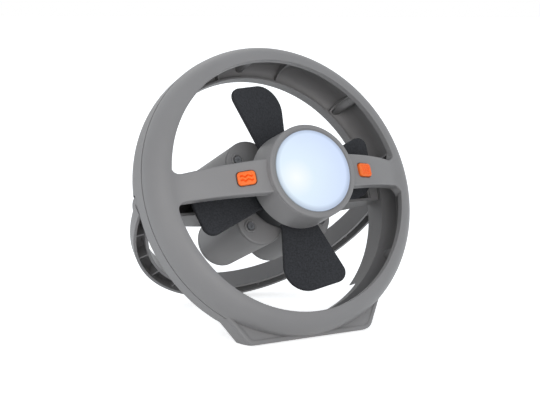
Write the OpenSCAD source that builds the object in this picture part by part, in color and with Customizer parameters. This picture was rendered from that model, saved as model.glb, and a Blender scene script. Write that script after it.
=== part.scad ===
// Portable camping fan: a ring frame on a swing-out hoop stand, with foam
// blades, a lamp in the hub and a clover battery barrel behind the blades.
// The fan stands on its foot and hoop, leaning back. Millimetres, +Z up,
// front towards -Y. The origin is the middle of the foot's ground face.

/* [View] */
// Which sub-part to draw

/* [Ring frame] */
// Inside diameter of the ring at its front lip
lip_d = 197.6; // [120:0.2:300]
// Radius that rounds the ring's front and rear shoulders
shoulder_r = 16.2; // [8:0.2:30]
// Depth from the front lip to the seam between the shells
seam_y = 19.8; // [12:0.2:40]
// Depth from the front lip to the rear lip
ring_depth = 49.4; // [30:0.2:90]
// Depth of the ring where the folded hoop lies behind it
low_depth = 31.1; // [22:0.1:60]
// Wall thickness of the mouldings
wall = 2.2; // [1.2:0.1:4]
// Depth of the flange that stiffens the front lip
lip_flange = 5; // [2:0.5:12]
// Depth of the flange behind the rear lip
rear_flange = 9; // [3:0.5:16]
// Height of the ribs inside the ring
rib_h = 4.6; // [1:0.2:10]
// Thickness of the ribs
rib_t = 1.6; // [0.8:0.1:3]
// Number of ribs round the ring
rib_count = 12; // [6:1:24]
// Angle of the first rib
rib_phase = 12; // [0:1:29]

/* [Foot and stand] */
// Width of the flat foot at the ground, to its sharp corners
foot_w = 106; // [60:1:180]
// Slope of the foot's sides, in degrees from the ground
foot_side = 58; // [45:0.5:85]
// Rounding of the foot's lower corners
foot_corner_r = 9; // [2:0.5:15]
// Hollow curve that runs from the foot's side up into the ring
foot_flare_r = 24; // [5:0.5:60]
// Width of the raised border on the foot
border_w = 3; // [1:0.2:6]
// Height of the raised border on the foot
border_h = 0.8; // [0.3:0.1:2]
// Angle of the open hoop, measured from folded
stand_open = 62.9; // [30:0.1:80]
// Depth of the hoop's pivot behind the front lip
pivot_y = 39.1; // [30:0.1:70]
// Inside radius of the hoop
hoop_in_r = 101.4; // [70:0.2:160]
// Radial width of the hoop's channel
hoop_w = 11.8; // [6:0.2:25]
// Depth of the hoop's channel
hoop_depth = 15.9; // [8:0.1:30]
// Rounding of the hoop's outer rear edge
hoop_round = 9; // [2:0.5:11]
// Diameter of the stand's pivot pins
pin_d = 5; // [3:0.1:8]
// Thickness of the friction washers
washer_t = 1.4; // [0.3:0.1:3]

/* [Crossbars] */
// Radius of the bowed crossbars, seen from above
bow_r = 162; // [110:1:300]
// Height of the front crossbar at the ring
bar_h_ring = 20.6; // [10:0.2:40]
// Height of the front crossbar at the drum
bar_h_hub = 25.4; // [12:0.2:50]
// Height of the front crossbar's middle line above the axis at the ring
bar_rise = 2; // [-5:0.1:8]
// Depth of the front crossbar's side walls
bar_depth = 9; // [4:0.2:20]
// Fillet where a crossbar meets the ring
bar_fillet = 7; // [2:0.5:15]
// Height of the rear crossbar
arm_h = 23; // [12:0.2:40]

/* [Drum and lamp] */
// Diameter of the drum at its rear edge
drum_d = 73.6; // [50:0.2:120]
// Diameter of the drum at the bezel
drum_front_d = 71.6; // [48:0.2:118]
// Distance of the drum's front edge ahead of the lip
drum_front = 29.3; // [18:0.1:50]
// Distance of the drum's rear edge ahead of the lip
drum_rear = 3.6; // [1:0.1:10]
// Diameter of the lamp lens
lens_d = 62; // [30:0.2:100]
// How far the lens stands ahead of the drum's edge at its rim
lens_stand = 3; // [1:0.1:8]
// Dome radius of the lens
lens_dome_r = 150; // [50:1:400]
// Number of light-emitting chips
led_count = 6; // [3:1:12]

/* [Buttons] */
// Width of each button
button_w = 13.6; // [8:0.1:25]
// Height of each button
button_h = 10.1; // [6:0.1:20]
// Distance of each button from the axis
button_x = 51.3; // [42:0.1:80]
// Height of a button above the crossbar
button_proud = 1.9; // [1:0.1:4]
// Travel of a button
button_travel = 1; // [0.5:0.1:2]

/* [Rotor] */
// Radius of the blade tips
tip_r = 82.8; // [50:0.2:130]
// Width of a blade at its root
blade_root_w = 28; // [12:0.2:60]
// Width of a blade at its widest
blade_tip_w = 46.6; // [16:0.2:90]
// Thickness of the foam blades
blade_t = 4; // [2:0.1:8]
// Pitch angle of the blades
blade_pitch = 13.5; // [5:0.5:35]
// Angle of the first blade
blade_phase = 8; // [0:1:89]
// Depth of the blades' middle plane behind the front lip
blade_y = 11; // [3:0.1:20]
// Radius of the rotor hub
hub_r = 30.6; // [18:0.2:50]
// Diameter of the motor shaft
shaft_d = 2; // [1.5:0.1:5]
// Diameter of the motor
motor_d = 24.4; // [18:0.1:40]
// Length of the motor can
motor_l = 12.4; // [9:0.1:24]

/* [Battery barrel] */
// Diameter of one cell
cell_d = 34.2; // [20:0.1:36]
// Length of one cell with its cap
cell_l = 61.5; // [40:0.1:70]
// Distance of each tube from the axis, across and up
tube_x = 21.4; // [12:0.1:30]
// Depth of the barrel's front face behind the front lip
barrel_front = 21.3; // [18:0.1:50]
// Thickness of the front cap
cap_t = 2.3; // [1.5:0.1:5]
// Thickness of the barrel's front wall
bulkhead_t = 1.8; // [1.2:0.1:4]
// Room for the springs ahead of the cells
spring_gap = 1.8; // [1:0.1:6]

/* [Hidden] */

unit = lip_d / 197.6;
cut = 0.5 * unit;
gap = 0.3 * unit;
running_gap = 0.05 * unit;
lip_r = lip_d / 2;
skim = 0.1 * unit;
// The ring reaches past the folded hoop, and its rear flange stands inside it
hoop_clear = unit;
flange_t = 1.6 * unit;
ring_margin = 1.8 * unit;
lip_edge = 0.2 * unit;
seat_r = hoop_in_r - hoop_clear - flange_t;
flange_out_r = seat_r + flange_t;
ring_r = max(lip_r + shoulder_r, hoop_in_r + hoop_w + ring_margin);
big_fn = 72;
mid_fn = 36;
small_fn = 18;

plastic = [0.47, 0.49, 0.51];
dark_plastic = [0.30, 0.32, 0.34];
foam = [0.20, 0.21, 0.21];
orange = [0.96, 0.42, 0.10];
glow = [0.86, 0.92, 1.0, 0.9];
steel = [0.72, 0.73, 0.75];
brass = [0.80, 0.66, 0.32];
pcb_green = [0.10, 0.36, 0.20];
cell_grey = [0.24, 0.25, 0.28];
white_plastic = [0.93, 0.94, 0.95];

// Stand geometry
hoop_out_r = hoop_in_r + hoop_w;
lug_r = 7.6 * unit;
lug_inset = 0.7 * unit;
lug_outset = 0.8 * unit;
lug_web_t = 2.4 * unit;
lug_drop = 11 * unit;
lug_skin = 2 * unit;
hoop_rib_sunk = 3 * unit;
hoop_ribs = 11;
washer_r = 6 * unit;
rim_y = pivot_y - lug_r;
hoop_back_y = rim_y + hoop_depth;
lug_in_x = hoop_in_r + lug_inset;
lug_out_x = hoop_out_r - lug_outset;
stop_offset = hoop_back_y - pivot_y + gap;
pocket_r = stop_offset + gap;
notch_l = 7 * unit;
notch_angle = 50;

// Ground plane through the foot's front edge and the open hoop's lowest rim
foot_lag = 0.7 * unit;
foot_drop = 0.4 * unit;
ear_t = 2.8 * unit;
flare_bite = 0.8 * unit;
foot_y = seam_y + foot_lag;
foot_z = ring_r + foot_drop;
ear_y = seam_y - ear_t;
hoop_ground_y = pivot_y + (rim_y - pivot_y) * cos(stand_open) + hoop_out_r * sin(stand_open);
hoop_ground_z = (rim_y - pivot_y) * sin(stand_open) - hoop_out_r * cos(stand_open);
lean = atan2(hoop_ground_z + foot_z, hoop_ground_y - foot_y);
base_y = (foot_y + low_depth) / 2;
base_z = -foot_z + (base_y - foot_y) * tan(lean);

// Crossbar bows: front one bulges forward, rear one bulges back
bow_short = 3.8 * unit;
bow_y = sqrt(pow(bow_r, 2) - pow(lip_r - bow_short, 2));
arm_bow_y = ring_depth - skim - sqrt(pow(bow_r, 2) - pow(seat_r - bow_short, 2));
bar_sunk = 3 * unit;
bar_over = 1.4 * unit;
fillet_bite = 0.6 * unit;
tip_gap = 1.6 * unit;
arm_short = 1.8 * unit;
arm_solid = 7 * unit;
barrel_clear = 3 * unit;
block_w = 10 * unit;
block_front = 6.5 * unit;
arm_screw_z = 8.5 * unit;
arm_screw_back = 5.6 * unit;
arm_screw_y = pivot_y + arm_screw_back;
arm_head_sunk = 6 * unit;
pin_sunk = 9 * unit;

// Buttons and their switches
button_turn = asin(button_x / bow_r);
button_r = 2.6 * unit;
button_flange_gap = 0.5 * unit;
button_flange_w = 1.4 * unit;
button_flange_t = 1.2 * unit;
plunger_r = 1.8 * unit;
plunger_l = 2.4 * unit;
mark_r = 3.4 * unit;
mark_t = 0.8 * unit;
mark_h = 0.4 * unit;
bump_step = 2.6 * unit;
switch_w = 6.2 * unit;
switch_t = 1.8 * unit;
switch_gap = 0.2 * unit;
switch_board_w = 16 * unit;
switch_board_t = 1.2 * unit;
peg_r = 1.1 * unit;
peg_x = 5 * unit;
peg_top = 8.2 * unit;
peg_low = 7.9 * unit;
board_top_gap = 0.4 * unit;
board_low_gap = 1.3 * unit;
button_flange_y = wall + button_flange_gap;
plunger_y = button_flange_y + plunger_l;
switch_y = plunger_y + button_travel + switch_gap;
board_top = bar_h_ring / 2 - board_top_gap;
board_low = bar_h_ring / 2 - board_low_gap;

// Barrel
cell_r = cell_d / 2;
tube_in_r = cell_r + gap;
tube_r = tube_in_r + wall;
bulkhead_y = barrel_front + cap_t;
spring_y = bulkhead_y + bulkhead_t;
cell_y = spring_y + spring_gap;
plate_t = 0.4 * unit;
barrel_back = cell_y + cell_l + plate_t;
core_bore_r = 7.6 * unit;
boss_out = 9.6 * unit;
boss_up = 4.6 * unit;
boss_x = tube_x + boss_out;
boss_z = tube_x + boss_up;
cap_boss_r = 5.4 * unit;
cap_boss_h = unit;
cap_dish = 0.4 * unit;
plug_w = 4 * unit;
ridge_l = 18 * unit;
ridge_t = 1.6 * unit;
ridge_step = 4 * unit;
nub_h = 1.5 * unit;
nub_r = 4.75 * unit;
spring_plate_r = 8 * unit;
spring_hole_r = 3 * unit;
spring_r = 4.6 * unit;
spring_wire_t = unit;

// Screws
screw_r = 1.5 * unit;
core_share = 0.8;
core_r = screw_r * core_share;
head_r = 2.8 * unit;
head_t = 1.8 * unit;
head_well = 3.2 * unit;
slot_l = 3 * unit;
slot_w = 0.7 * unit;
slot_depth = 1.2 * unit;
screw_bite = 9 * unit;
boss_r = 4.2 * unit;
boss_gap = 1.2 * unit;
shell_boss_r = ring_r - boss_r - boss_gap;
shell_boss_angles = [40, 90, 140, 212, 250, 290, 328];
post_inset = 5.2 * unit;
post_at = drum_d / 2 - post_inset;
post_r = 3.4 * unit;
post_l = 9 * unit;
post_hole_l = 7 * unit;
post_angles = [30, 150, 270];
screw_back_y = low_depth - head_well;
screw_tip_y = seam_y - screw_bite;

// Lamp
lamp_r = lens_d / 2;
lens_t = 1.8 * unit;
bezel_y = -drum_front;
lens_rim_y = -drum_front - lens_stand;
lens_plug = 0.6 * unit;
groove_in = 2 * unit;
groove_w = 1.2 * unit;
groove_h = unit;
bezel_round = 1.5 * unit;
skirt_l = 3.4 * unit;
reflector_sunk = 4.6 * unit;
reflector_back_y = bezel_y + reflector_sunk;
board_t = 1.6 * unit;
board_gap = 4 * unit;
board_r = lamp_r - board_gap;
board_ledge = 3 * unit;
board_back_y = reflector_back_y + board_t;
dish_r = 9 * unit;
dish_t = unit;
dish_h = 3.6 * unit;
dish_flare = 0.6 * unit;
chip_r = 2.5 * unit;
chip_h = 2 * unit;
chip_at = 5 * unit;

// Motor and rotor
motor_r = motor_d / 2;
shaft_r = shaft_d / 2;
plate_back_y = -drum_rear;
drum_plate_t = 2.4 * unit;
motor_back_y = plate_back_y - drum_plate_t;
motor_front_y = motor_back_y - motor_l;
bell_t = 1.6 * unit;
bell_step = 0.6 * unit;
bell_boss_h = 1.4 * unit;
bell_skin = 0.2 * unit;
bearing_r = 3 * unit;
bearing_h = 1.6 * unit;
tag_at = 7 * unit;
tag_w = 2.4 * unit;
tag_l = 2.6 * unit;
tag_t = 0.6 * unit;
shaft_stub = unit;
collar_w = 2 * unit;
collar_l = 4 * unit;
plate_head_t = 1.2 * unit;
plate_screw_l = 8 * unit;
hub_gap = 1.4 * unit;
hub_rise = 6 * unit;
hub_front_y = plate_back_y + hub_gap;
hub_back_y = blade_y + hub_rise;
root_sunk = 7 * unit;
blade_round = 19 * unit;
blade_tight = 8 * unit;
tip_lead = unit;
blade_front_y = blade_y - blade_tip_w / 2 * sin(blade_pitch) - blade_t / 2;
hub_wall = 2.4 * unit;
hub_core_r = 5 * unit;
hub_ledge_l = 9 * unit;
hub_ledge_h = 12 * unit;
hub_cap_t = 1.6 * unit;
hub_cap_step = 4 * unit;
hub_cap_h = 2.6 * unit;
nut_r = 4 * unit;
nut_t = 0.8 * unit;
shaft_end_y = hub_back_y + hub_cap_h + nut_t / 2;

// A point at radius 1 and angle a
function unit_at(a) = [cos(a), sin(a)];
// Points of an arc about centre c, from angle a to angle b in n steps
function arc_pts(c, r, a, b, n) = [for (i = [0 : n]) c + r * unit_at(a + (b - a) * i / n)];

// Stands the assembly on its foot, leaning back
module stand_up() {
  rotate([-lean, 0, 0]) translate([0, -base_y, -base_z]) children();
}

// Turns local Z into the fan's axis, pointing backwards
module about_y() {
  rotate([-90, 0, 0]) children();
}

// Swings the hoop from folded to open
module swung() {
  translate([0, pivot_y, 0]) rotate([stand_open, 0, 0]) translate([0, -pivot_y, 0]) children();
}

// Copies a right-hand feature to the left
module both_sides() {
  children();
  mirror([1, 0, 0]) children();
}

// A round bar along the fan's axis from depth a to depth b
module rod_y(r, a, b, x = 0, z = 0, fn = mid_fn) {
  translate([x, a, z]) about_y() cylinder(h = b - a, r = r, $fn = fn);
}

// A round bar along X from a to b
module rod_x(r, a, b, y = 0, z = 0, fn = mid_fn) {
  translate([a, y, z]) rotate([0, 90, 0]) cylinder(h = b - a, r = r, $fn = fn);
}

// A prism of the children's outline, drawn as seen from the front
module front_prism(a, b) {
  translate([0, b, 0]) rotate([90, 0, 0]) linear_extrude(height = b - a) children();
}

// Everything below the ground plane
module underground(lift = 0) {
  big = 3 * ring_r;
  translate([-big, foot_y, -foot_z]) rotate([lean, 0, 0])
    translate([0, -big, lift - big]) cube([2 * big, 2 * big, big]);
}

// Section of a ring shoulder: radius to the right, depth upwards. It starts at
// the radius of its lip and turns into the ring's side by its round
module shoulder_2d(inset, depth, from) {
  r = shoulder_r - inset;
  mid = ring_r - shoulder_r;
  intersection() {
    translate([mid, shoulder_r]) circle(r = r, $fn = mid_fn);
    translate([from, 0]) square([ring_r - from, shoulder_r]);
  }
  translate([from, shoulder_r - cut]) square([mid + r - from, depth - shoulder_r + cut]);
  if (from < mid - skim)
    translate([from, inset]) square([mid - from, shoulder_r - inset]);
}

// Shoulder skin, open towards the axis and at the seam
module skin_2d(depth, from) {
  difference() {
    shoulder_2d(0, depth, from);
    shoulder_2d(wall, depth + cut, from);
  }
}

// One rib's outline inside the shoulder
module rib_2d(depth, from) {
  difference() {
    shoulder_2d(wall / 2, depth, from);
    shoulder_2d(wall + rib_h, depth + cut, from);
    translate([from - cut, 0]) square([flange_t + cut, depth]);
  }
}

// Stands a radial section up at angle a, with thickness t
module radial_plate(a, t) {
  rotate([0, -a, 0]) translate([0, 0, -t / 2]) linear_extrude(height = t) children();
}

// Front outline of the crossbar, from the drum to the ring
module bar_2d(inset) {
  hub_x = drum_d / 2 - bar_sunk;
  ring_x = lip_r + bar_over;
  zr = bar_h_ring / 2 - inset;
  zh = bar_h_hub / 2 - inset;
  polygon([[hub_x - inset, -zh], [ring_x, bar_rise - zr], [ring_x, bar_rise + zr],
    [hub_x - inset, zh]]);
  root_x = lip_r + fillet_bite;
  f = bar_fillet;
  if (inset == 0) for (s = [-1, 1]) difference() {
    translate([root_x - f, min(s * zr, s * (zr + f)) + bar_rise]) square(f);
    translate([root_x - f, s * (zr + f) + bar_rise]) circle(r = f, $fn = mid_fn);
  }
}

// A solid cylinder standing on end, the crossbar's bow
module bow(r, y) {
  translate([0, y, -ring_r]) cylinder(h = 2 * ring_r, r = r, $fn = 2 * big_fn);
}

// The front crossbar: a bowed trough, open to the rear
module crossbar() {
  both_sides() difference() {
    intersection() {
      bow(bow_r, bow_y);
      front_prism(-drum_front, bar_depth) bar_2d(0);
    }
    intersection() {
      bow(bow_r - wall, bow_y);
      front_prism(-drum_front, bar_depth + cut) bar_2d(wall);
    }
    bow(bow_r - bar_depth, bow_y);
    // Room for the blades' tips
    rod_y(tip_r + tip_gap, blade_front_y - 3 * gap, ring_depth, 0, 0, big_fn);
  }
}

// The drum's radius at depth y
function drum_r(y) = drum_d / 2 - (drum_d - drum_front_d) / 2 * (-drum_rear - y) / (drum_front - drum_rear);

// The drum's outside, tapering to the bezel
module drum_body(inset, a, b) {
  translate([0, a, 0]) about_y()
    cylinder(h = b - a, r1 = drum_r(a) - inset, r2 = drum_r(b) - inset, $fn = big_fn);
}

// Outline of the foot from the front: a rounded corner, a straight side, and a
// hollow arc that meets the side at a tangent and dips just inside the ring
module foot_2d(inset) {
  along = unit_at(foot_side);
  out = unit_at(foot_side - 90);
  toe = [foot_w / 2, -foot_z];
  corner = toe + [-foot_corner_r * (1 + out[1]) / out[0], foot_corner_r];
  reach = ring_r + foot_flare_r - flare_bite;
  t = -toe * along - sqrt(pow(reach, 2) - pow(toe * out + foot_flare_r, 2));
  hollow = toe + along * t + out * foot_flare_r;
  a = atan2(hollow[1], hollow[0]);
  right = concat(
    arc_pts(corner, foot_corner_r - inset, -90, foot_side - 90, 6),
    arc_pts(hollow, foot_flare_r + inset, foot_side + 90, a + 180, 6),
    [(ring_r - 3 * wall - inset) * unit_at(a)]);
  left = [for (i = [len(right) - 1 : -1 : 0]) [-right[i][0], right[i][1]]];
  polygon(concat(right, left));
}

// Pocket for a button: the button's own outline plus a running gap
module button_2d(grow) {
  w = button_w + 2 * grow;
  h = button_h + 2 * grow;
  r = button_r + grow;
  polygon(concat(
    arc_pts([w / 2 - r, h / 2 - r], r, 0, 90, 5), arc_pts([r - w / 2, h / 2 - r], r, 90, 180, 5),
    arc_pts([r - w / 2, r - h / 2], r, 180, 270, 5), arc_pts([w / 2 - r, r - h / 2], r, 270, 360, 5)));
}

// Ring front, crossbar and drum: one moulding
module front_shell() color(plastic) stand_up() difference() {
  union() {
    about_y() rotate_extrude($fn = big_fn) skin_2d(seam_y, lip_r);
    about_y() rotate_extrude($fn = big_fn)
      translate([lip_r, lip_edge]) square([flange_t, lip_flange]);
    for (i = [0 : rib_count - 1])
      radial_plate(rib_phase + i * 360 / rib_count, rib_t) rib_2d(seam_y - gap, lip_r);
    for (a = shell_boss_angles) intersection() {
      rod_y(boss_r, wall / 2, seam_y - gap, shell_boss_r * cos(a), shell_boss_r * sin(a), small_fn);
      about_y() rotate_extrude($fn = big_fn) shoulder_2d(wall / 2, seam_y, lip_r);
    }
    difference() {
      crossbar();
      drum_body(wall / 2, -drum_front - cut, bar_depth + cut);
    }
    difference() {
      drum_body(0, -drum_front, -drum_rear);
      drum_body(wall, -drum_front - cut, -drum_rear + cut);
    }
    // Ledge inside the drum that carries the lamp board
    difference() {
      drum_body(wall / 2, board_back_y, board_back_y + wall);
      rod_y(board_r - board_ledge, board_back_y - cut, board_back_y + wall + cut, 0, 0, big_fn);
    }
    for (a = post_angles)
      rod_y(post_r, motor_back_y - post_l, motor_back_y,
        post_at * cos(a), post_at * sin(a), small_fn);
    // Posts that seat the switch boards
    for (side = [-1, 1]) at_button(side) for (x = [-peg_x, peg_x], z = [-peg_low, peg_top])
      rod_y(peg_r, wall / 2, switch_y + switch_t - skim, x, z, small_fn);
    // Ears of the foot, with a raised border
    difference() {
      union() {
        front_prism(ear_y, seam_y - gap) foot_2d(0);
        front_prism(ear_y - border_h, ear_y + cut) difference() {
          foot_2d(0);
          foot_2d(border_w);
        }
      }
      rod_y(ring_r - wall / 2, 0, seam_y + cut, 0, 0, big_fn);
    }
  }
  // Windows for the two buttons
  for (side = [-1, 1]) at_button(side) front_prism(-2 * wall, 2 * wall) button_2d(gap);
  // Pilot holes
  for (a = shell_boss_angles)
    rod_y(screw_r, screw_tip_y - cut, seam_y + cut, shell_boss_r * cos(a), shell_boss_r * sin(a), small_fn);
  for (a = post_angles)
    rod_y(core_r, motor_back_y - post_hole_l, plate_back_y,
      post_at * cos(a), post_at * sin(a), small_fn);
  // Clear of the seam tongue
  underground();
}

// Section of the rear shell's deep half, depth measured from the front lip
module rear_section(depth) {
  translate([0, ring_depth]) mirror([0, 1]) {
    skin_2d(ring_depth - depth, seat_r);
    translate([seat_r, lip_edge]) square([flange_t, rear_flange - lip_edge]);
  }
}

// Shallow section behind which the folded hoop lies
module low_section(inner_back) {
  translate([ring_r - wall, seam_y]) square([wall, low_depth - seam_y]);
  translate([seat_r, low_depth - wall]) square([ring_r - seat_r, wall]);
  translate([seat_r, low_depth - wall]) square([flange_t, inner_back - low_depth + wall]);
}

// Everything above the slanted ends where the open hoop comes to rest
module above_stop(grow = 0) {
  big = 3 * ring_r;
  difference() {
    translate([-big, 0, grow]) cube([2 * big, 2 * big, big]);
    rod_x(pocket_r + grow, -2 * big, 2 * big, pivot_y, 0, big_fn);
    translate([-2 * big, pivot_y, 0]) rotate([stand_open, 0, 0])
      translate([0, 0, -big]) cube([4 * big, stop_offset + grow, big]);
  }
}

// Ring rear: deep over the top, shallow where the hoop folds in
module rear_shell() color(plastic) stand_up() difference() {
  union() {
    intersection() {
      about_y() rotate_extrude($fn = big_fn) rear_section(seam_y);
      above_stop();
    }
    // End walls that close the deep channel beside the hoop's lugs
    difference() {
      intersection() {
        about_y() rotate_extrude($fn = big_fn) translate([0, ring_depth]) mirror([0, 1])
          shoulder_2d(wall / 2, ring_depth - low_depth + wall, seat_r);
        above_stop();
      }
      above_stop(wall);
      rod_y(flange_out_r - gap, 0, 2 * ring_depth, 0, 0, big_fn);
    }
    // Lower half, its inner wall deep down to the notches
    intersection() {
      about_y() rotate_extrude($fn = big_fn) low_section(low_depth + notch_l);
      translate([-2 * ring_r, 0, -2 * ring_r]) cube([4 * ring_r, ring_depth, 2 * ring_r]);
    }
    intersection() {
      about_y() rotate_extrude($fn = big_fn) low_section(ring_depth);
      translate([-2 * ring_r, 0, -seat_r * sin(notch_angle)])
        cube([4 * ring_r, ring_depth, seat_r * sin(notch_angle)]);
    }
    for (i = [0 : rib_count - 1]) intersection() {
      radial_plate(rib_phase + i * 360 / rib_count, rib_t)
        translate([0, ring_depth]) mirror([0, 1]) rib_2d(ring_depth - seam_y - gap, seat_r);
      above_stop();
    }
    for (a = shell_boss_angles)
      shell_boss(a, sin(a) > 0 ? ring_depth - wall : low_depth);
    // Foot block with its floor on the ground plane
    difference() {
      front_prism(seam_y, low_depth) foot_2d(0);
      difference() {
        front_prism(seam_y - cut, low_depth - wall) union() {
          foot_2d(wall);
          circle(r = ring_r - wall, $fn = big_fn);
        }
        underground(wall);
      }
      rod_y(ring_r - 2 * wall, low_depth - wall - cut, low_depth + cut, 0, 0, big_fn);
      difference() {
        rod_y(ring_r - wall, 0, low_depth - wall, 0, 0, big_fn);
        underground(wall);
      }
    }
  }
  // Wells and clearance holes for the screws
  for (a = shell_boss_angles) {
    rod_y(screw_r + gap / 2, seam_y - cut, ring_depth, shell_boss_r * cos(a), shell_boss_r * sin(a), small_fn);
    rod_y(head_r + gap / 2, screw_back_y, ring_depth, shell_boss_r * cos(a), shell_boss_r * sin(a), small_fn);
  }
  // Seats for the pivot pins and holes for the arm screws
  rod_x(pin_d / 2 + gap / 3, -ring_r, ring_r, pivot_y, 0, mid_fn);
  for (z = [-arm_screw_z, arm_screw_z])
    rod_x(core_r, -ring_r, ring_r, arm_screw_y, z, small_fn);
  underground();
}

// Column for one shell screw, cut to the outer skin
module shell_boss(a, back) {
  intersection() {
    rod_y(boss_r, seam_y, back, shell_boss_r * cos(a), shell_boss_r * sin(a), small_fn);
    about_y() rotate_extrude($fn = big_fn) translate([0, ring_depth]) mirror([0, 1])
      shoulder_2d(wall / 2, ring_depth, seat_r);
  }
}

// Clover outline of the barrel, seen from the front
module clover_2d(r) {
  for (x = [-1, 1], z = [-1, 1])
    translate([x * tube_x, z * tube_x]) circle(r = r, $fn = 48);
  square([2 * tube_x, 2 * tube_x], center = true);
}

// Four tubes for the cells and the bowed arms that carry them
module battery_housing() color(plastic) stand_up() difference() {
  union() {
    front_prism(bulkhead_y, barrel_back) clover_2d(tube_r);
    both_sides() difference() {
      intersection() {
        bow(bow_r, arm_bow_y);
        front_prism(rim_y, ring_depth * 2) arm_2d(0);
      }
      intersection() {
        bow(bow_r - wall, arm_bow_y);
        front_prism(rim_y - cut, ring_depth * 2) arm_2d(wall);
      }
      rod_y(tube_r + tube_x, rim_y - cut, pivot_y - barrel_clear, 0, 0, big_fn);
    }
    // Blocks that seat against the ring and hold the pivot pins
    both_sides() intersection() {
      translate([seat_r - block_w, pivot_y - block_front, -arm_h / 2])
        cube([2 * block_w, ring_depth - pivot_y + block_front - skim, arm_h]);
      rod_y(seat_r - skim, 0, ring_depth, 0, 0, big_fn);
      bow(bow_r, arm_bow_y);
    }
  }
  for (x = [-1, 1], z = [-1, 1]) {
    rod_y(tube_in_r, spring_y, barrel_back + cut, x * tube_x, z * tube_x, 48);
    rod_y(core_r, bulkhead_y - cut, spring_y + cut, x * boss_x, z * boss_z, small_fn);
  }
  rod_y(core_bore_r, bulkhead_y - cut, barrel_back - wall, 0, 0, mid_fn);
  both_sides() {
    rod_x(pin_d / 2, seat_r - pin_sunk, ring_r, pivot_y, 0, mid_fn);
    for (z = [-arm_screw_z, arm_screw_z]) {
      rod_x(screw_r, seat_r - block_w - 2 * cut, ring_r, arm_screw_y, z, small_fn);
      rod_x(head_r + gap / 2, seat_r - block_w - 2 * cut, seat_r - arm_head_sunk, arm_screw_y, z, small_fn);
    }
  }
}

// Front outline of one rear arm
module arm_2d(inset) {
  translate([tube_x, inset - arm_h / 2])
    square([seat_r - arm_short - tube_x - arm_solid * inset / wall, arm_h - 2 * inset]);
}

// Cap over the front of the barrel, with a dished boss at each screw
module contact_cap() color(plastic) stand_up() difference() {
  union() {
    front_prism(barrel_front, bulkhead_y) clover_2d(tube_r);
    for (x = [-1, 1], z = [-1, 1])
      rod_y(cap_boss_r, barrel_front - cap_boss_h, barrel_front + cut, x * boss_x, z * boss_z, mid_fn);
  }
  for (x = [-1, 1], z = [-1, 1]) {
    rod_y(screw_r + gap / 2, barrel_front - 2 * cap_boss_h, bulkhead_y + cut, x * boss_x, z * boss_z, small_fn);
    rod_y(head_r + gap, barrel_front - 2 * cap_boss_h, barrel_front + cap_dish, x * boss_x, z * boss_z, mid_fn);
  }
}

// Pull-off cover that closes the rear of the barrel
module battery_cover() color(plastic) stand_up() difference() {
  union() {
    front_prism(barrel_back + gap, barrel_back + gap + wall) clover_2d(tube_r);
    // Plug that fits inside each tube's mouth
    for (x = [-1, 1], z = [-1, 1])
      rod_y(tube_in_r - gap, barrel_back - plate_t + gap, barrel_back + gap + cut,
        x * tube_x, z * tube_x, 48);
    // Finger ridges
    for (i = [-2 : 2])
      translate([-ridge_l / 2, barrel_back + wall, i * ridge_step - ridge_t / 2])
        cube([ridge_l, ridge_t, ridge_t]);
  }
  for (x = [-1, 1], z = [-1, 1])
    rod_y(cell_r - plug_w, barrel_back - cut - plate_t, barrel_back + gap, x * tube_x, z * tube_x, 48);
}

// Section of the hoop: a channel open to the front when folded
module hoop_2d(inset) {
  w = hoop_w - 2 * inset;
  r = hoop_round - inset;
  d = hoop_depth - inset;
  translate([hoop_in_r + inset, rim_y]) {
    square([w, d - r]);
    square([w - r, d]);
    intersection() {
      translate([w - r, d - r]) circle(r = r, $fn = mid_fn);
      square([w, d]);
    }
  }
}

// Swing-out hoop with ribs and two lugs
module stand_hoop() color(plastic) stand_up() swung() difference() {
  union() {
    intersection() {
      about_y() rotate_extrude($fn = big_fn) difference() {
        hoop_2d(0);
        translate([0, -cut]) hoop_2d(wall);
      }
      translate([-2 * ring_r, 0, -2 * ring_r]) cube([4 * ring_r, 2 * ring_depth, 2 * ring_r]);
    }
    for (i = [1 : hoop_ribs])
      radial_plate(-i * 180 / (hoop_ribs + 1), rib_t) difference() {
        hoop_2d(wall / 2);
        translate([hoop_in_r, rim_y - cut]) square([hoop_w, hoop_rib_sunk + cut]);
      }
    both_sides() {
      rod_x(lug_r, lug_in_x, lug_out_x, pivot_y, 0, mid_fn);
      translate([lug_in_x, pivot_y - lug_r, -lug_drop]) cube([lug_web_t, 2 * lug_r, lug_drop]);
    }
  }
  both_sides() {
    rod_x(pin_d / 2 + running_gap, lug_in_x - cut, lug_out_x - lug_skin, pivot_y, 0, mid_fn);
    rod_x(washer_r + gap, 0, lug_in_x, pivot_y, 0, mid_fn);
  }
}

// Pins pressed into the arm blocks; the hoop turns on them
module stand_pins() color(steel) stand_up() both_sides() {
  rod_x(pin_d / 2, seat_r - pin_sunk, lug_out_x - lug_skin - gap, pivot_y, 0, mid_fn);
}

// Friction washers between the ring and the lugs
module pivot_washers() color(steel) stand_up() both_sides() difference() {
  x = lug_in_x - skim;
  rod_x(washer_r, x - washer_t, x, pivot_y, 0, mid_fn);
  rod_x(pin_d / 2 + running_gap, x - washer_t - cut, x + cut, pivot_y, 0, mid_fn);
}

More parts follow.
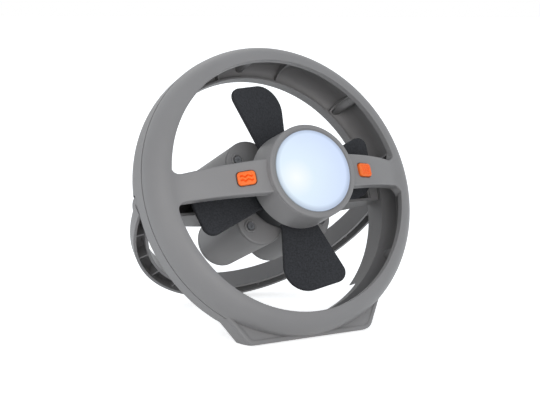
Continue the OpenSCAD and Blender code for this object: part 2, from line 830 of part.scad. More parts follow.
// Bezel round the lens, with a groove
module lamp_bezel() color(plastic) stand_up() translate([0, bezel_y, 0]) about_y() rotate_extrude($fn = big_fn) {
  r = drum_front_d / 2;
  difference() {
    translate([lamp_r + gap, -lens_stand]) square([r - lamp_r - gap, lens_stand]);
    translate([lamp_r + groove_in, -lens_stand - cut]) square([groove_w, groove_h + cut]);
    translate([r - bezel_round, -lens_stand - cut]) difference() {
      square([bezel_round + cut, bezel_round + cut]);
      translate([0, bezel_round + cut]) circle(r = bezel_round, $fn = mid_fn);
    }
  }
  // Skirt that plugs into the drum, clear of its taper
  skirt_r = min(r, drum_r(bezel_y + skirt_l)) - wall - gap / 2;
  skirt_in_r = max(skirt_r - wall + gap / 2, lamp_r + gap);
  translate([skirt_in_r, 0]) square([skirt_r - skirt_in_r, skirt_l]);
}

// Domed lens, frosted
module lamp_lens() color(glow) stand_up() translate([0, lens_rim_y, 0]) about_y() rotate_extrude($fn = big_fn) {
  sag = lens_dome_r - sqrt(pow(lens_dome_r, 2) - pow(lamp_r, 2));
  intersection() {
    difference() {
      translate([0, lens_dome_r - sag]) circle(r = lens_dome_r, $fn = 240);
      translate([0, lens_dome_r - sag]) circle(r = lens_dome_r - lens_t, $fn = 240);
    }
    translate([0, -sag]) square([lamp_r, lens_stand + sag]);
  }
  translate([lamp_r - lens_t, 0]) square([lens_t, lens_stand + lens_plug]);
}

// Reflector dish behind the lens
module reflector() color(white_plastic) stand_up() translate([0, reflector_back_y, 0]) about_y()
  rotate_extrude($fn = big_fn)
    polygon([[dish_r, 0], [board_r - dish_t, 0], [board_r + dish_flare, -dish_h],
      [board_r - dish_flare, -dish_h], [board_r - 2 * dish_t, -dish_t], [dish_r, -dish_t]]);

// Lamp board
module led_board() color(pcb_green) stand_up()
  rod_y(board_r, reflector_back_y, board_back_y, 0, 0, big_fn);

// Light-emitting chips round the board
module led_chips() color(white_plastic) stand_up() for (i = [0 : led_count - 1]) {
  a = i * 360 / led_count;
  rod_y(chip_r, reflector_back_y - chip_h, reflector_back_y, chip_at * cos(a), chip_at * sin(a), small_fn);
}

// Places a button's pieces square to the bowed crossbar; local -Y points out
module at_button(side) {
  translate([0, bow_y, 0]) rotate([0, 0, side * button_turn]) translate([0, -bow_r, 0]) children();
}

// Button cap with an inner flange that keeps it in its window
module button_cap(raised) {
  front_prism(-button_proud, button_flange_y + cut) button_2d(0);
  front_prism(button_flange_y, button_flange_y + button_flange_t) button_2d(button_flange_w);
  rod_y(plunger_r, button_flange_y, plunger_y, 0, 0, small_fn);
  if (raised) for (x = [-1.5 : 1 : 1.5], z = [-1 : 1])
    rod_y(mark_t, -button_proud - mark_h, cut, x * bump_step, z * bump_step, small_fn);
  else front_prism(-button_proud - mark_h, cut - button_proud) difference() {
    circle(r = mark_r, $fn = mid_fn);
    circle(r = mark_r - mark_t, $fn = mid_fn);
  }
}

// Left button runs the fan
module fan_button() color(orange) stand_up() at_button(-1) button_cap(false);

// Right button works the lamp
module light_button() color(orange) stand_up() at_button(1) button_cap(true);

// Push switch on its small board, seated on posts in the crossbar
module push_switch() {
  translate([-switch_w / 2, switch_y, -switch_w / 2]) cube([switch_w, switch_t, switch_w]);
  translate([-switch_board_w / 2, switch_y + switch_t, -board_low])
    cube([switch_board_w, switch_board_t, board_low + board_top]);
}

module fan_switch() color(pcb_green) stand_up() at_button(-1) push_switch();

module light_switch() color(pcb_green) stand_up() at_button(1) push_switch();

// Flat motor: steel can, closed at the rear with a bearing boss
module motor_can() color(steel) stand_up() difference() {
  union() {
    rod_y(motor_r, motor_front_y + bell_t, motor_back_y, 0, 0, mid_fn);
    rod_y(bearing_r, motor_back_y - cut, motor_back_y + bearing_h, 0, 0, mid_fn);
  }
  rod_y(shaft_r + running_gap, motor_front_y, plate_back_y, 0, 0, mid_fn);
}

module motor_end_bell() color(dark_plastic) stand_up() difference() {
  union() {
    rod_y(motor_r - bell_step, motor_front_y, motor_front_y + bell_t, 0, 0, mid_fn);
    rod_y(bearing_r, motor_front_y - bell_boss_h, motor_front_y + cut, 0, 0, mid_fn);
    for (s = [-1, 1])
      translate([s * tag_at - tag_w / 2, motor_front_y - tag_l, -tag_t / 2])
        cube([tag_w, tag_l + cut, tag_t]);
  }
  rod_y(shaft_r + running_gap, motor_front_y - bell_boss_h + bell_skin, motor_front_y + bell_t + cut, 0, 0, mid_fn);
}

module motor_shaft() color(steel) stand_up()
  rod_y(shaft_r, motor_front_y - shaft_stub, shaft_end_y, 0, 0, mid_fn);

// Plate that closes the drum's rear and carries the motor
module motor_plate() color(dark_plastic) stand_up() difference() {
  union() {
    drum_body(wall + gap / 2, motor_back_y, plate_back_y);
    // Collar that locates the motor
    rod_y(motor_r + collar_w, motor_back_y - collar_l, motor_back_y + cut, 0, 0, mid_fn);
  }
  rod_y(motor_r + running_gap, motor_back_y - collar_l - cut, motor_back_y, 0, 0, mid_fn);
  rod_y(bearing_r + running_gap, motor_back_y - cut, plate_back_y + cut, 0, 0, mid_fn);
  for (a = post_angles) {
    rod_y(screw_r, motor_back_y - cut, plate_back_y + cut, post_at * cos(a), post_at * sin(a), small_fn);
    rod_y(head_r, plate_back_y - plate_head_t, plate_back_y + cut, post_at * cos(a), post_at * sin(a), small_fn);
  }
}

module plate_screws() color(steel) stand_up() for (a = post_angles) {
  x = post_at * cos(a);
  z = post_at * sin(a);
  rod_y(core_r, plate_back_y - plate_screw_l, plate_back_y - cut, x, z, small_fn);
  rod_y(head_r - gap / 2, plate_back_y - plate_head_t, plate_back_y - skim, x, z, small_fn);
}

// Places something at one blade's angle and pitch; local X is radial
module at_blade(i) {
  translate([0, blade_y, 0]) about_y() rotate([0, 0, -(blade_phase + 90 * i)])
    rotate([blade_pitch, 0, 0]) children();
}

// Angle on a circle where a line from point p runs along its upper side
function side_angle(p, c, r) = atan2(c[1] - p[1], c[0] - p[0]) + acos(-r / norm(c - p));

// Outline of one blade: a petal that leads with a tight corner and trails with
// a wide one. Each side leaves its corner's arc at a tangent for the root
module blade_2d() {
  side = blade_root_w / 2 - gap;
  neck = [hub_r + gap, side];
  wide = [tip_r - tip_lead - blade_round, blade_tip_w / 2 - tip_lead - blade_round];
  tight = [tip_r - tip_lead - blade_tight - gap, blade_tip_w / 2 + tip_lead - blade_tight];
  polygon(concat([[hub_r - root_sunk, side], neck],
    arc_pts(wide, blade_round, side_angle(neck, wide, blade_round), 2, 9),
    arc_pts([tight[0], -tight[1]], blade_tight, 4, -side_angle(neck, tight, blade_tight), 7),
    [[neck[0], -side], [hub_r - root_sunk, -side]]));
}

module blade(i) color(foam) stand_up() at_blade(i)
  translate([0, 0, -blade_t / 2]) linear_extrude(height = blade_t) blade_2d();

module blade_a() blade(0);
module blade_b() blade(1);
module blade_c() blade(2);
module blade_d() blade(3);

// Hub: a cup with a pitched slot for each blade
module rotor_hub() color(dark_plastic) stand_up() difference() {
  union() {
    difference() {
      rod_y(hub_r, hub_front_y, hub_back_y, 0, 0, big_fn);
      rod_y(hub_r - hub_wall, hub_front_y + hub_wall, hub_back_y + cut, 0, 0, big_fn);
    }
    rod_y(hub_core_r, hub_front_y, hub_back_y, 0, 0, mid_fn);
    // Ledges that hold the blade roots
    for (i = [0 : 3]) intersection() {
      rod_y(hub_r - hub_wall / 2, hub_front_y, hub_back_y, 0, 0, big_fn);
      at_blade(i) translate([hub_r - hub_ledge_l, -blade_root_w / 2, -hub_ledge_h / 2])
        cube([hub_ledge_l, blade_root_w, hub_ledge_h]);
    }
  }
  for (i = [0 : 3]) at_blade(i)
    translate([hub_r - root_sunk - 2 * skim, -blade_root_w / 2, -blade_t / 2 - skim])
      cube([2 * root_sunk, blade_root_w, blade_t + 2 * skim]);
  rod_y(shaft_r, hub_front_y - cut, hub_back_y + cut, 0, 0, mid_fn);
}

// Cap over the rear of the hub
module hub_cap() color(dark_plastic) stand_up() difference() {
  union() {
    rod_y(hub_r, hub_back_y, hub_back_y + hub_cap_t, 0, 0, big_fn);
    rod_y(hub_r - hub_cap_step, hub_back_y, hub_back_y + hub_cap_h, 0, 0, big_fn);
  }
  rod_y(shaft_r + running_gap, hub_back_y - cut, hub_back_y + hub_cap_h + cut, 0, 0, mid_fn);
}

// Push nut that keeps the cap on the shaft
module hub_nut() color(steel) stand_up() difference() {
  rod_y(nut_r, hub_back_y + hub_cap_h, hub_back_y + hub_cap_h + nut_t, 0, 0, mid_fn);
  rod_y(shaft_r, hub_back_y + hub_cap_h - cut, hub_back_y + hub_cap_h + nut_t + cut, 0, 0, mid_fn);
}

// Four cells, alternate ones turned round
module battery_cells() color(cell_grey) stand_up() for (x = [-1, 1], z = [-1, 1]) {
  a = x * z > 0 ? cell_y : cell_y + nub_h;
  rod_y(cell_r, a, a + cell_l - nub_h, x * tube_x, z * tube_x, 48);
  rod_y(nub_r, cell_y, cell_y + cell_l, x * tube_x, z * tube_x, mid_fn);
}

// Coil springs at the front of the tubes
module cap_springs() color(steel) stand_up() for (x = [-1, 1], z = [-1, 1])
  translate([x * tube_x, spring_y, z * tube_x]) about_y() {
    difference() {
      cylinder(h = plate_t, r = spring_plate_r, $fn = mid_fn);
      translate([0, 0, -cut]) cylinder(h = 2 * cut + plate_t, r = spring_hole_r, $fn = mid_fn);
    }
    difference() {
      cylinder(h = spring_gap, r = spring_r, $fn = mid_fn);
      translate([0, 0, -cut]) cylinder(h = 2 * cut + spring_gap, r = spring_r - spring_wire_t, $fn = mid_fn);
    }
  }

// Contact discs in the cover's plugs
module cover_contacts() color(brass) stand_up() for (x = [-1, 1], z = [-1, 1])
  rod_y(cell_r - plug_w - gap, barrel_back, barrel_back + gap, x * tube_x, z * tube_x, mid_fn);

// One pan-head screw pointing backwards or forwards along the axis
module screw_y(head_y, tip_y, x, z) {
  s = tip_y > head_y ? 1 : -1;
  lo = min(head_y, tip_y);
  rod_y(core_r, lo, max(head_y, tip_y), x, z, small_fn);
  difference() {
    rod_y(head_r, min(head_y, head_y - s * head_t), max(head_y, head_y - s * head_t), x, z, small_fn);
    translate([x, head_y - s * head_t, z]) for (t = [0, 90]) rotate([0, t, 0])
      cube([slot_l, slot_depth, slot_w], center = true);
  }
}

module cap_screws() color(steel) stand_up() for (x = [-1, 1], z = [-1, 1])
  screw_y(barrel_front + cap_dish, spring_y, x * boss_x, z * boss_z);

module shell_screws() color(steel) stand_up() for (a = shell_boss_angles)
  screw_y(screw_back_y, screw_tip_y, shell_boss_r * cos(a), shell_boss_r * sin(a));

module arm_screws() color(steel) stand_up() both_sides() for (z = [-arm_screw_z, arm_screw_z]) {
  rod_x(core_r, seat_r - arm_head_sunk, flange_out_r, arm_screw_y, z, small_fn);
  rod_x(head_r, seat_r - arm_head_sunk - head_t, seat_r - arm_head_sunk, arm_screw_y, z, small_fn);
}

front_shell();
rear_shell();
battery_housing();
contact_cap();
battery_cover();
stand_hoop();
stand_pins();
pivot_washers();
lamp_bezel();
lamp_lens();
reflector();
led_board();
led_chips();
fan_button();
light_button();
fan_switch();
light_switch();
motor_can();
motor_end_bell();
motor_shaft();
motor_plate();
plate_screws();
rotor_hub();
blade_a();
blade_b();
blade_c();
blade_d();
hub_cap();
hub_nut();
battery_cells();
cap_springs();
cover_contacts();
cap_screws();
shell_screws();
arm_screws();
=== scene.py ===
import math

import bmesh
import bpy
import numpy as np
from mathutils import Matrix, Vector


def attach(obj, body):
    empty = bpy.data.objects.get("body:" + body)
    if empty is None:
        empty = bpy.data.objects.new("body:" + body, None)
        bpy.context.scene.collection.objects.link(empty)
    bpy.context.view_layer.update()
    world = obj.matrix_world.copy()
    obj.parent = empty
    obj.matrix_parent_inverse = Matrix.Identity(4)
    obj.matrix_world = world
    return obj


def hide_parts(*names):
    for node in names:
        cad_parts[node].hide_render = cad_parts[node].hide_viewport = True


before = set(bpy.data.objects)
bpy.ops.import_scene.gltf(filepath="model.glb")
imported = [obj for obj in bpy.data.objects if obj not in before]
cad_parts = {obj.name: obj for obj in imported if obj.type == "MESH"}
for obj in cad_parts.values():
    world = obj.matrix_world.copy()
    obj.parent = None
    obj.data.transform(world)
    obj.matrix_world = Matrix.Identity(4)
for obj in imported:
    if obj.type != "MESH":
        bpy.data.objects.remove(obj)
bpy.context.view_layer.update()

# Front moulding: the ring's front, the crossbar, the drum and the face of the foot.
# It is one injection moulding in grey ABS, its mould spark-eroded to an even satin
# grain, and seven screws from behind join it to the rear shell along the seam.

# The ring's own frame is in millimetres: X to the right and Z up as seen from the
# front, Y back along the axis, with the front lip in the plane Y = 0.
LEAN = math.radians(26.2127)
STANDS_AT_Y, STANDS_AT_Z = 25.8, -112.7906
LIP_R, RING_R, SEAM_Y, WALL = 98.8, 115, 19.8, 2.2
ROUND_W, ROUND_D = 15.9, 19.5
LIP_EDGE, FLANGE_DEPTH, FLANGE_T = 0.7, 5.2, 1.6
SEAM_GAP, SEAM_EDGE_R, SEAM_EDGE_IN, SEAM_LAND = 0.3, 0.42, 0.45, 0.8
MOULD_END = SEAM_Y - SEAM_GAP


def stood_up(points):
    """Ring frame in millimetres to metres on the ground.

    Y and Z are turned by the lean about the middle of the foot.
    """
    y, z = points[..., 1] - STANDS_AT_Y, points[..., 2] - STANDS_AT_Z
    c, s = math.cos(LEAN), math.sin(LEAN)
    return np.stack([points[..., 0], y * c + z * s, z * c - y * s], -1) / 1000


def arc(u, v, radius, start, stop, steps):
    """Points on a circle: u + radius cos a, v + radius sin a, a from start to stop in degrees."""
    a = np.radians(np.linspace(start, stop, steps))
    return np.stack([u + radius * np.cos(a), v + radius * np.sin(a)], -1)


def line(start, stop, steps):
    """Evenly spaced points from one plane point to another, without the last one."""
    t = np.linspace(0, 1, steps, endpoint=False)[:, None]
    return np.array(start) * (1 - t) + np.array(stop) * t


def on_round(out, inset=0):
    """Depth of the ring's front at a distance out from the lip: a quarter ellipse less an inset."""
    share = np.clip(out / (ROUND_W - inset), 0, 1)
    return ROUND_D - (ROUND_D - inset) * np.sqrt(1 - share ** 2)


def oval(inset, start, stop, steps):
    """Points of the same quarter ellipse as (radius, depth), by the angle from the outward side."""
    circle = arc(0, 0, 1, start, stop, steps)
    return circle * (ROUND_W - inset, ROUND_D - inset) + (LIP_R, ROUND_D)


def softened(corners, radii, steps=5):
    """A closed outline with its corners cut by quadratic curves.

    Corner i turns into a curve from radii[i] before it to radii[i] past it: a (1 - t)^2
    + 2 p t (1 - t) + b t^2, where p is the corner and a and b are those two points.
    """
    p = np.array(corners, float)
    r = np.broadcast_to(np.array(radii, float), len(p))[:, None]
    before = np.roll(p, 1, 0) - p
    after = np.roll(p, -1, 0) - p
    a = p + before * (r / np.linalg.norm(before, axis=1, keepdims=True))
    b = p + after * (r / np.linalg.norm(after, axis=1, keepdims=True))
    t = np.linspace(0, 1, steps)[None, :, None]
    curves = a[:, None] * (1 - t) ** 2 + p[:, None] * 2 * t * (1 - t) + b[:, None] * t ** 2
    return curves.reshape(-1, 2)


def spun(outline, steps=240):
    """A closed outline of (radius, depth) turned about the axis: (r cos a, depth, r sin a)."""
    a = np.linspace(0, 2 * np.pi, steps, endpoint=False)[:, None]
    r, y = outline[None, :, 0], outline[None, :, 1]
    return np.stack([r * np.cos(a), y + 0 * a, r * np.sin(a)], -1)


def straight_on(u, depth, v):
    """Places an outline square to the axis: across, back, up."""
    return np.stack([u, depth, v], -1)


def carried(rows, place=straight_on):
    """A stack of outlines. place(u, depth, v) puts each (outline, depth) in the ring's frame."""
    return np.stack([place(outline[:, 0], np.full(len(outline), depth), outline[:, 1])
                     for outline, depth in rows])


def new_piece(name, grids, material, body, crease=35):
    """One mesh out of grids of points, each of which comes with a flag.

    Corner (i, j) of a grid is joined to its neighbours (i + 1, j), (i + 1, j + 1) and (i, j + 1).
    The columns close into a loop. The rows close too where the flag says ring, and else get end
    faces.
    """
    points, faces, base = [], [], 0
    for grid, ring in grids:
        rows, cols = grid.shape[:2]
        i = np.arange(rows if ring else rows - 1)[:, None]
        j = np.arange(cols)[None, :]
        i2, j2 = (i + 1) % rows, (j + 1) % cols
        quads = np.stack([i * cols + j, i2 * cols + j, i2 * cols + j2, i * cols + j2], -1)
        faces += (quads.reshape(-1, 4) + base).tolist()
        if not ring:
            last = base + (rows - 1) * cols
            faces += [list(range(base, base + cols)), list(range(last, last + cols))]
        points.append(stood_up(grid.reshape(-1, 3)))
        base += rows * cols
    mesh = bpy.data.meshes.new(name)
    mesh.from_pydata(np.concatenate(points).tolist(), [], faces)
    whole = bmesh.new()
    whole.from_mesh(mesh)
    bmesh.ops.remove_doubles(whole, verts=whole.verts, dist=1e-7)
    bmesh.ops.recalc_face_normals(whole, faces=whole.faces)
    whole.to_mesh(mesh)
    whole.free()
    mesh.shade_smooth()
    mesh.set_sharp_from_angle(angle=math.radians(crease))
    mesh.materials.append(material)
    made = bpy.data.objects.new(name, mesh)
    bpy.context.scene.collection.objects.link(made)
    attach(made, body)
    return made


def linear(code):
    """An sRGB hex colour as the linear values that the shader wants."""
    v = np.array([int(code[i:i + 2], 16) for i in (1, 3, 5)]) / 255
    return (*np.where(v <= 0.04045, v / 12.92, ((v + 0.055) / 1.055) ** 2.4), 1)


def add(tree, kind, settings=(), links=()):
    """Adds a shader node.

    Settings name a property or an input. Links join an input to another node's output.
    """
    made = tree.nodes.new(kind)
    for name, value in dict(settings).items():
        if isinstance(name, int) or name in made.inputs:
            made.inputs[name].default_value = value
        else:
            setattr(made, name, value)
    for name, source in dict(links).items():
        tree.links.new(source, made.inputs[name])
    return made


def finish(name, colours, roughness, grain_mm, grain_height_mm, drift_mm=60, soft_edge_mm=0,
           **shader_values):
    """A surface that drifts slowly between two colours, with a fine grain.

    Both are 3-D noise on Object coordinates. The roughness drifts with the colour, by 0.05 each
    way.
    """
    made = bpy.data.materials.new(name)
    made.use_nodes = True
    tree = made.node_tree
    shader = tree.nodes["Principled BSDF"]
    where = add(tree, "ShaderNodeTexCoord").outputs["Object"]
    drift = add(tree, "ShaderNodeTexNoise", {"Scale": 1000 / drift_mm, "Detail": 3},
                {"Vector": where})
    ramp = add(tree, "ShaderNodeValToRGB", {}, {"Fac": drift.outputs["Fac"]})
    for stop, position, colour in zip(ramp.color_ramp.elements, (0.35, 0.65), colours):
        stop.position, stop.color = position, linear(colour)
    tree.links.new(ramp.outputs["Color"], shader.inputs["Base Color"])
    grain = add(tree, "ShaderNodeTexNoise", {"Scale": 1000 / grain_mm, "Detail": 2},
                {"Vector": where})
    bump = add(tree, "ShaderNodeBump", {"Strength": 1, "Distance": grain_height_mm / 1000},
               {"Height": grain.outputs["Fac"]})
    if soft_edge_mm:
        edge = add(tree, "ShaderNodeBevel", {"Radius": soft_edge_mm / 1000, "samples": 4})
        tree.links.new(edge.outputs["Normal"], bump.inputs["Normal"])
    tree.links.new(bump.outputs["Normal"], shader.inputs["Normal"])
    rough = add(tree, "ShaderNodeMapRange",
                {"To Min": roughness - 0.05, "To Max": roughness + 0.05},
                {"Value": drift.outputs["Fac"]})
    tree.links.new(rough.outputs["Result"], shader.inputs["Roughness"])
    for socket, value in shader_values.items():
        shader.inputs[socket.replace("_", " ")].default_value = value
    return made


# Satin grey ABS: the eroded grain spreads each highlight into a broad soft sheen. Real
# grain is finer than the picture can show, here and below, and is drawn at 0.4 to 0.9 mm
# on the fan and at 2 mm on the table.
grey_abs = finish("ABS, moulded, eroded satin", ("#838181", "#888686"), 0.46, 0.8, 0.010)

ring_skin = np.concatenate([
    line((LIP_R, FLANGE_DEPTH), (LIP_R, LIP_EDGE), 4),
    arc(LIP_R + LIP_EDGE, LIP_EDGE, LIP_EDGE, 180, 265, 6),
    oval(0, -86.5, -4, 34),
    arc(LIP_R + ROUND_W - SEAM_EDGE_IN, MOULD_END - SEAM_EDGE_IN, SEAM_EDGE_R, 0, 90, 5),
    line((LIP_R + ROUND_W - SEAM_LAND, MOULD_END), (LIP_R + ROUND_W - WALL, MOULD_END), 2),
    oval(WALL, 0, -83, 24),
    line((LIP_R + FLANGE_T, WALL + 0.2), (LIP_R + FLANGE_T, FLANGE_DEPTH), 3)])

# The crossbar's face is a bow of BOW_R about a point BOW_Y behind the lip. The bar has
# half heights at the hub and the ring, and its middle rises a little towards the ring.
BOW_R, BOW_Y, BAR_DEPTH, BAR_EDGE = 162, 131.223, 9, 1.3
BAR_HUB_H, BAR_RING_H, BAR_RISE, FILLET_R = 12.7, 10.3, 2, 7
BLEND_FROM, SWEEP_R, SWEEP_Y, FACE_PROUD = 85, 84.4, 2.6, 0.03
BUTTON_X, BUTTON_W, BUTTON_H, BUTTON_R = 51.3, 13.6, 10.1, 2.6
BUTTON_TURN = math.asin(BUTTON_X / BOW_R)
WINDOW_GAP, WINDOW_DEPTH, WINDOW_SLOPE = 0.55, 1.9, 0.25

# Distances from the axis: the bar starts inside the drum, has close rows past the
# button, and ends on top of the ring, thinned and let in. Its fillet stops short of the
# lip. Its bow turns from a straight one into the ring's circles past TURNS_FROM.
BAR_START, TAPER_START, BUTTON_START, BUTTON_END, BAR_END = 30, 36, 43.3, 59.3, 103.5
FILLET_SHORT, TIP_T, TIP_DIP, THIN_WALL_SHARE = 0.8, 1.2, 0.4, 0.7
TURNS_FROM, TURNS_OVER = 60, 25


def crossbar_face(rho):
    """Depth of the crossbar's face at a distance from the axis.

    A circular bow, then a cubic that lands flat on the lip, then a hair proud of the ring's round.
    """
    bow = BOW_Y - np.sqrt(BOW_R ** 2 - np.minimum(rho, BLEND_FROM + 1) ** 2)
    y0 = BOW_Y - math.sqrt(BOW_R ** 2 - BLEND_FROM ** 2)
    span = LIP_R - BLEND_FROM
    slope = BLEND_FROM / math.sqrt(BOW_R ** 2 - BLEND_FROM ** 2) * span
    t = np.clip((rho - BLEND_FROM) / span, 0, 1)
    cubic = y0 * (2 * t ** 3 - 3 * t ** 2 + 1) + slope * (t ** 3 - 2 * t ** 2 + t)
    on_ring = on_round(rho - LIP_R) - FACE_PROUD
    past_bow = np.where(rho < LIP_R, cubic - FACE_PROUD * t, on_ring)
    return np.where(rho < BLEND_FROM, bow, past_bow)


def window(x, z):
    """How far the face sinks round a button.

    Fully within a rounded rectangle, and not at all outside it: a ramp of the signed distance to
    its edge, which is the distance to the rectangle's core less the corner radius and the gap.
    """
    u = np.abs((x - BUTTON_X) / math.cos(BUTTON_TURN)) - BUTTON_W / 2 + BUTTON_R
    v = np.abs(z) - BUTTON_H / 2 + BUTTON_R
    to_core = np.hypot(np.maximum(u, 0), np.maximum(v, 0)) + np.minimum(np.maximum(u, v), 0)
    outside = to_core - BUTTON_R - WINDOW_GAP
    return WINDOW_DEPTH * np.clip(0.5 - outside / WINDOW_SLOPE, 0, 1)


def crossbar(side):
    """A trough carried from the drum to the ring.

    Half height: a straight taper, plus a quarter circle of the fillet where it meets the ring. A
    section's point is (distance in from the side wall, distance back from the face). Its place is
    side * x, the face's depth there plus the one, and the wall's height less the other. The face
    sinks round the button square to the bow.
    """
    near_ring = LIP_R - FILLET_R - FILLET_SHORT
    x = np.concatenate([
        np.linspace(BAR_START, BUTTON_START - 0.3, 6),
        np.linspace(BUTTON_START, BUTTON_END, 61),
        np.linspace(BUTTON_END + 1.2, near_ring, 22),
        near_ring + FILLET_R * np.sin(np.radians(np.linspace(6, 90, 16))),
        np.linspace(LIP_R, BAR_END, 6)])
    into = np.clip(x - near_ring, 0, FILLET_R)
    flare = FILLET_R - np.sqrt(FILLET_R ** 2 - into ** 2)
    t = np.clip((x - TAPER_START) / (LIP_R - TAPER_START), 0, 1)
    half = BAR_HUB_H + (BAR_RING_H - BAR_HUB_H) * t + flare
    middle = BAR_RISE * t
    back = np.where(x < SWEEP_R, np.minimum(BAR_DEPTH, SWEEP_Y - crossbar_face(x)), BAR_DEPTH)
    back = np.where(x > LIP_R - 0.2, TIP_T, back)[:, None]
    wall = np.minimum(WALL, back * THIN_WALL_SHARE)
    half, middle, x = half[:, None], middle[:, None], x[:, None]

    # One flank, from the rear edge round onto the face: in from the wall, back from the face
    edge = arc(0, 0, 1, 0, 90, 6)
    down = np.linspace(1, 0, 5)[None, :]
    inward = np.concatenate([0 * down[0], BAR_EDGE * (1 - edge[:, 0])])[None, :] + 0 * x
    deep = np.concatenate([
        BAR_EDGE + (back - BAR_EDGE) * down, BAR_EDGE * (1 - edge[None, :, 1]) + 0 * x], 1)
    flank_z = half - inward

    # The face between the flanks, then the trough's inside: down one wall, across, up the other
    across = np.linspace(1, -1, 82)[None, 1:-1] * (half - BAR_EDGE)
    inner_down = np.linspace(0, 1, 4)[None, :]
    inner_across = np.linspace(-1, 1, 8)[None, 1:-1]
    inner_z = np.concatenate([
        wall - half + 0 * inner_down, inner_across * (half - wall),
        half - wall + 0 * inner_down], 1)
    inner_d = np.concatenate([
        back + (wall - back) * inner_down, wall + 0 * inner_across,
        wall + (back - wall) * inner_down], 1)

    z = np.concatenate([flank_z, across, -flank_z[:, ::-1], inner_z], 1) + middle
    d = np.concatenate([deep, 0 * across, deep[:, ::-1], inner_d], 1)
    sunk = np.concatenate([0 * deep, window(x, across + middle), 0 * deep, 0 * inner_d], 1)
    # The bow is straight up and down at the drum, and follows the ring's circles further out
    round_share = np.clip((x - TURNS_FROM) / TURNS_OVER, 0, 1)
    rho = np.sqrt(x ** 2 + round_share * z ** 2)
    y = crossbar_face(rho) + d + sunk * math.cos(BUTTON_TURN)
    y[-1] += TIP_DIP
    return np.stack([side * (x - sunk * math.sin(BUTTON_TURN)), y, z], -1)


DRUM_REAR, DRUM_FRONT, DRUM_R, DRUM_FRONT_R = -3.6, -29.3, 36.8, 35.8
drum = softened([
    (DRUM_R, DRUM_REAR), (DRUM_FRONT_R, DRUM_FRONT),
    (DRUM_FRONT_R - WALL, DRUM_FRONT), (DRUM_R - WALL, DRUM_REAR)], (0.6, 0.5, 0.3, 0.3))

FOOT_HALF_W, FOOT_Z, FOOT_SIDE, TOE_R, FLARE_R, FLARE_BITE = 53, -115.4, 58, 9, 24, 0.8
EAR_Y, BORDER_W, BORDER_H = 17.0, 3, 0.8


def foot_edge(inset):
    """The foot's outline drawn in by inset.

    A rounded toe, a straight side and a hollow arc that runs into the ring. All arcs keep their
    centres, so the outline for any inset follows the same path.
    """
    along = np.array([math.cos(math.radians(FOOT_SIDE)), math.sin(math.radians(FOOT_SIDE))])
    out = np.array([along[1], -along[0]])
    toe = np.array([FOOT_HALF_W, FOOT_Z])
    corner = toe + (-TOE_R * (1 + out[1]) / out[0], TOE_R)
    reach = RING_R + FLARE_R - FLARE_BITE
    t = -toe @ along - math.sqrt(reach ** 2 - (toe @ out + FLARE_R) ** 2)
    hollow = toe + along * t + out * FLARE_R
    up = math.degrees(math.atan2(hollow[1], hollow[0])) + 180
    right = np.concatenate([
        line((0, FOOT_Z + inset), (corner[0], FOOT_Z + inset), 24),
        arc(*corner, TOE_R - inset, -90, FOOT_SIDE - 90, 14),
        arc(*hollow, FLARE_R + inset, FOOT_SIDE + 90, up, 14)])
    return np.concatenate([right[::-1] * (-1, 1), right[1:]])


def foot_face():
    """The foot's raised border and the plate inside it: the outline over (inset, depth) steps.

    The border's two edges are rounded by a few tenths. The last steps run up behind the ring, at a
    radius just inside its skin.
    """
    top = EAR_Y - BORDER_H
    steps = [
        (0, MOULD_END), (0, EAR_Y + 0.3), (0.12, top + 0.5), (0.5, top + 0.1), (0.9, top),
        (BORDER_W - 0.4, top), (BORDER_W - 0.1, top + 0.1), (BORDER_W + 0.1, EAR_Y - 0.2),
        (BORDER_W + 0.5, EAR_Y), (BORDER_W + 2, EAR_Y)]
    rows = [(foot_edge(inset), depth) for inset, depth in steps]
    rim = rows[-1][0]
    far = np.linalg.norm(rim, axis=1, keepdims=True)
    behind = rim / far * np.minimum(far, RING_R - 1)
    rows += [(behind, EAR_Y), (behind, MOULD_END)]
    return carried(rows).transpose(1, 0, 2)


RIB_COUNT, RIB_PHASE, RIB_H, RIB_T = 12, 12, 4.6, 1.6
rib = np.concatenate([
    oval(WALL / 2, -70, 0, 14),
    oval(WALL + RIB_H, 0, -70, 14)])


def on_spoke(degrees):
    """Stands an outline of (radius, depth) on the spoke at an angle.

    The place is r times the spoke's direction plus the step across it: (r cos a - s sin a, depth,
    r sin a + s cos a).
    """
    c, s = math.cos(math.radians(degrees)), math.sin(math.radians(degrees))
    return lambda r, across, y: np.stack([r * c - across * s, y, r * s + across * c], -1)


POST_R, POST_AT, POST_MIN_L = 4.2, 109.6, 0.5
POST_ANGLES = 40, 90, 140, 212, 250, 290, 328


def screw_post(degrees):
    """A screw's post: a circle at the seam, and one in the ring's skin that follows its round."""
    a = np.linspace(0, 2 * np.pi, 28, endpoint=False)
    x = POST_AT * math.cos(math.radians(degrees)) + POST_R * np.cos(a)
    z = POST_AT * math.sin(math.radians(degrees)) + POST_R * np.sin(a)
    skin = on_round(np.hypot(x, z) - LIP_R, WALL / 2)
    ends = np.full(len(a), MOULD_END), np.minimum(skin, MOULD_END - POST_MIN_L)
    return np.stack([np.stack([x, y, z], -1) for y in ends])


grids = [
    (spun(ring_skin), True), (crossbar(1), False), (crossbar(-1), False),
    (spun(drum, 120), True), (foot_face(), False)]
for i in range(RIB_COUNT):
    spoke = on_spoke(RIB_PHASE + 360 / RIB_COUNT * i)
    grids.append((carried([(rib, -RIB_T / 2), (rib, RIB_T / 2)], spoke), False))
grids += [(screw_post(angle), False) for angle in POST_ANGLES]
front_moulding = new_piece("front_moulding", grids, grey_abs, "frame")
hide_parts("front_shell")

